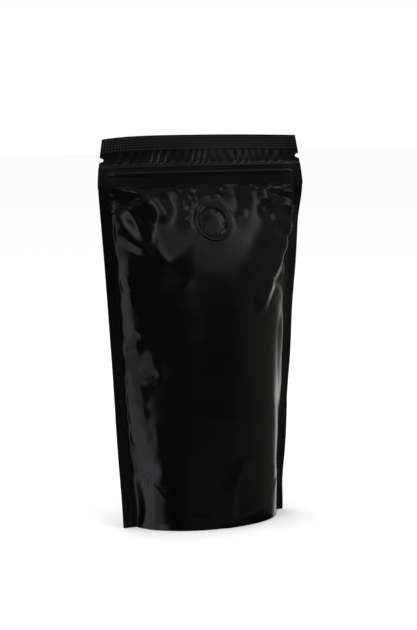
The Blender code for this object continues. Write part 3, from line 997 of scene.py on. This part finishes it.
CAMERA_AZIMUTH = math.radians(-30.08)
CAMERA_ELEVATION = math.radians(6.47)
CAMERA_DISTANCE = 1.085
CAMERA_LENS = 111.4
AIM_RIGHT = 0.00295
AIM_HEIGHT = 0.1152
FLOOR_HALF = 6.0

# Soft lights: name, azimuth and elevation in degrees, distance, width, height, radiance and colour.
LIGHTS = (
    ("left_box", -102, 0, 1.2, 0.97, 2.3, 0.72, (0.93, 0.95, 1.0)),
    ("left_edge", -69.5, 0, 1.2, 0.45, 2.3, 0.38, (0.93, 0.95, 1.0)),
    ("low_left", -60, -35, 1.2, 0.34, 0.35, 0.5, (0.97, 0.98, 1.0)),
    ("top_box", 28, 28, 1.3, 1.2, 0.56, 0.34, (0.95, 0.96, 1.0)),
    ("top_low", 26, 12, 1.3, 0.9, 0.24, 0.04, (0.95, 0.96, 1.0)),
    ("ceiling", 15, 68, 1.3, 2.0, 1.2, 0.10, (0.98, 0.98, 1.0)),
    ("overhead", 30, 97, 1.3, 0.7, 0.35, 2.0, (1.0, 1.0, 1.0)),
    ("top_left_edge", -4, 30, 1.25, 0.3, 0.9, 1.0, (0.97, 0.98, 1.0)),
    ("top_right_edge", 54, 36, 1.25, 0.3, 0.8, 0.6, (1.0, 0.99, 0.96)),
    ("right_soft", 46, 4, 1.2, 0.4, 1.2, 0.05, (1.0, 0.97, 0.90)),
    ("right_fill", 90, 10, 1.2, 1.7, 1.4, 0.10, (1.0, 0.97, 0.90)),
    ("right_box", 121, 6, 1.15, 0.3, 1.4, 1.1, (1.0, 0.99, 0.96)),
    ("right_back", 152, 8, 1.2, 0.9, 1.4, 0.10, (1.0, 0.97, 0.90)),
    ("low_front", 15, -28, 1.2, 1.6, 0.85, 0.06, (1.0, 0.98, 0.96)),
)
FLOOR_LIGHT = ("floor_light", -60, 62, 1.6, 0.5, 0.5, 2.5, (1, 1, 1))  # the film doesn't reflect it


def direction(azimuth, elevation):
    """From the object towards the viewer. Azimuth 0 is the front, 90 the right side."""
    return Vector((
        math.sin(azimuth) * math.cos(elevation),
        -math.cos(azimuth) * math.cos(elevation),
        math.sin(elevation),
    ))


def make_camera():
    data = bpy.data.cameras.new("camera")
    data.lens = CAMERA_LENS
    data.sensor_width = 36.0
    data.clip_start = 0.02
    data.clip_end = 50.0
    camera = link_object("camera", data)
    back = direction(CAMERA_AZIMUTH, CAMERA_ELEVATION)
    right = Vector((math.cos(CAMERA_AZIMUTH), math.sin(CAMERA_AZIMUTH), 0))
    aim = Vector((0, 0, AIM_HEIGHT)) + right * AIM_RIGHT
    camera.location = aim + back * CAMERA_DISTANCE
    camera.rotation_euler = (-back).to_track_quat("-Z", "Y").to_euler()
    bpy.context.scene.camera = camera


def soft_light(name, azimuth, elevation, distance, width, height, radiance, colour, in_gloss=True):
    """A rectangular softbox that faces the bag. Its radiance is what a mirror would show."""
    data = bpy.data.lights.new(name, "AREA")
    data.shape = "RECTANGLE"
    data.size = width
    data.size_y = height
    data.energy = radiance * math.pi * width * height
    data.color = colour
    light = link_object(name, data)
    away = direction(math.radians(azimuth), math.radians(elevation))
    light.location = Vector((0, 0, HEIGHT / 2)) + away * distance
    light.rotation_euler = (-away).to_track_quat("-Z", "Y").to_euler()
    light.visible_camera = False
    light.visible_glossy = in_gloss


def make_world():
    """White to the camera, dim to reflections, soft fill for the floor."""
    world = bpy.data.worlds.new("studio")
    bpy.context.scene.world = world
    world.use_nodes = True
    nodes = world.node_tree.nodes
    links = world.node_tree.links
    nodes.clear()
    output = nodes.new("ShaderNodeOutputWorld")
    path = nodes.new("ShaderNodeLightPath")
    strengths = {"camera": 1.0, "gloss": 0.002, "fill": 1.0}
    shades = {}
    for name, strength in strengths.items():
        shade = nodes.new("ShaderNodeBackground")
        shade.inputs["Color"].default_value = (1, 1, 1, 1)
        shade.inputs["Strength"].default_value = strength
        shades[name] = shade
    gloss_mix = nodes.new("ShaderNodeMixShader")
    links.new(path.outputs["Is Glossy Ray"], gloss_mix.inputs[0])
    links.new(shades["fill"].outputs[0], gloss_mix.inputs[1])
    links.new(shades["gloss"].outputs[0], gloss_mix.inputs[2])
    camera_mix = nodes.new("ShaderNodeMixShader")
    links.new(path.outputs["Is Camera Ray"], camera_mix.inputs[0])
    links.new(gloss_mix.outputs[0], camera_mix.inputs[1])
    links.new(shades["camera"].outputs[0], camera_mix.inputs[2])
    links.new(camera_mix.outputs[0], output.inputs[0])


def make_floor():
    corners = [(x * FLOOR_HALF, y * FLOOR_HALF, 0) for x, y in ((-1, -1), (1, -1), (1, 1), (-1, 1))]
    floor = link_object("floor", mesh_from("floor", corners, [(0, 1, 2, 3)]))
    material = bpy.data.materials.new("floor_paper")
    material.use_nodes = True
    shader = material.node_tree.nodes["Principled BSDF"]
    shader.inputs["Base Color"].default_value = (0.96, 0.96, 0.96, 1)
    shader.inputs["Roughness"].default_value = 1.0
    shader.inputs["Specular IOR Level"].default_value = 0.0
    floor.data.materials.append(material)
    floor.visible_glossy = False
    floor.visible_diffuse = False


def make_studio():
    view = bpy.context.scene.view_settings
    view.view_transform = "Standard"
    view.look = "None"
    make_world()
    make_floor()
    for light in LIGHTS:
        soft_light(*light)
    soft_light(*FLOOR_LIGHT, in_gloss=False)


# ---------------------------------------------------------------- the bag

make_camera()
make_studio()
film = settle_film()
black_film = film_material("black_film", 0.20)
black_boss = film_material("black_boss", 0.19)

body = link_object("pouch_body", make_body(film))
header = link_object("pouch_header", make_header())
valve = link_object("valve_boss", make_valve(valve_place(film)))
for piece, material in ((body, black_film), (header, black_film), (valve, black_boss)):
    piece.data.materials.append(material)
    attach(piece, "root")
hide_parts("pouch")
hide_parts("pouch")
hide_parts("valve")
